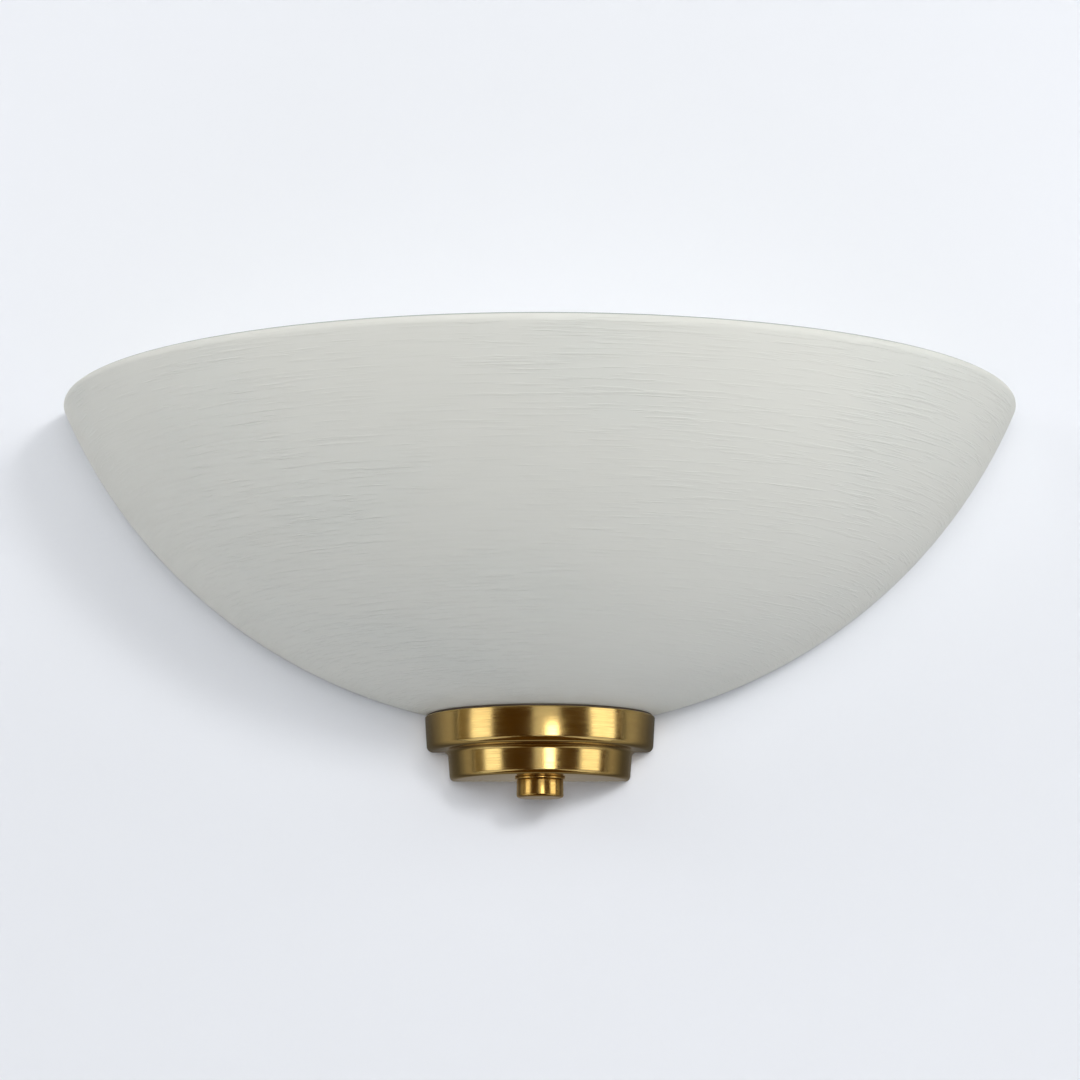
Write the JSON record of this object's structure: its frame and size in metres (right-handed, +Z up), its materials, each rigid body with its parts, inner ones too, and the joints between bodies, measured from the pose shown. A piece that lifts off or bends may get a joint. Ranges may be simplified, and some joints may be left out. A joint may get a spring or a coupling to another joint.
{
  "type": "wall light",
  "caption": "Half-bowl glass uplighter held on a stepped antique brass cup by a turned finial, over a steel pan with a tilted lampholder and lamp",
  "frame": {"origin": "on the wall plane, at the middle of the wall strap's two fixing slots", "axes": "+X right as seen from the room, +Y into the wall, +Z up"},
  "size_m": [0.305, 0.1525, 0.1322],
  "materials": {
    "opal_glass": "opal glass with a fine brushed matt skin",
    "antique_brass": "antique brass, brushed round, lacquered",
    "polished_brass": "polished aged brass",
    "dark_rubber": "dark moulded rubber",
    "zinc_steel": "bright zinc plated steel",
    "white_enamel": "white stove enamel",
    "white_phenolic": "white moulded thermoset",
    "insert_ceramic": "glazed insulating ceramic",
    "contact_brass": "bright brass",
    "cap_nickel": "nickel plated brass",
    "black_glass": "black cap glass",
    "lamp_plastic": "white moulded plastic",
    "lamp_opal": "opal diffuser",
    "block_nylon": "natural nylon",
    "lead_brown": "brown insulation",
    "lead_blue": "blue insulation",
    "lead_green_yellow": "green insulation with a yellow stripe"
  },
  "bodies": {
    "wall_frame": {"shade_stud": "zinc_steel", "stud_nuts": "zinc_steel", "stud_lock_washer": "zinc_steel", "back_pan": "white_enamel", "wall_strap": "zinc_steel", "pan_screws": "zinc_steel", "lamp_bracket": "zinc_steel", "bracket_rivets": "zinc_steel", "holder_nipple": "zinc_steel", "holder_ring_nut": "zinc_steel", "holder_base": "white_phenolic", "holder_body": "white_phenolic", "holder_insert": "insert_ceramic", "holder_terminal_screws": "contact_brass", "holder_screw_shell": "contact_brass", "holder_centre_contact": "contact_brass", "lead_grommet": "dark_rubber", "terminal_block": "block_nylon", "terminal_tubes": "contact_brass", "terminal_screws": "zinc_steel", "block_fixing_screw": "zinc_steel", "earth_tag": "contact_brass", "earth_screw": "contact_brass", "lead_live": "lead_brown", "lead_neutral": "lead_blue", "lead_earth": "lead_green_yellow"},
    "shade": {"glass_bowl": "opal_glass", "gallery_cup": "antique_brass", "cup_edge_seal": "dark_rubber", "finial_collar": "polished_brass", "glass_plate_washer": "zinc_steel", "glass_cushion": "dark_rubber"},
    "finial": {"finial_knob": "polished_brass"},
    "lamp": {"lamp_tip": "cap_nickel", "lamp_insulator": "black_glass", "lamp_cap": "cap_nickel", "lamp_housing": "lamp_plastic", "lamp_globe": "lamp_opal"}
  },
  "joints": [
    {"name": "shade_drop", "type": "slide", "parent": "wall_frame", "child": "shade", "axis": [0, 0, -1], "range_m": [0, 0.004]},
    {"name": "finial_turn", "type": "hinge", "parent": "shade", "child": "finial", "pos_m": [0, -0.015, -0.0844], "axis": [0, 0, -1], "range_deg": [0, 1450]},
    {"name": "lamp_lift", "type": "slide", "parent": "wall_frame", "child": "lamp", "axis": [0.7071, 0, 0.7071], "range_m": [0, 0.12]}
  ],
  "couplings": [
    {"joint": "finial_turn", "follows": "shade_drop", "rad_per_m": 6283.2}
  ]
}
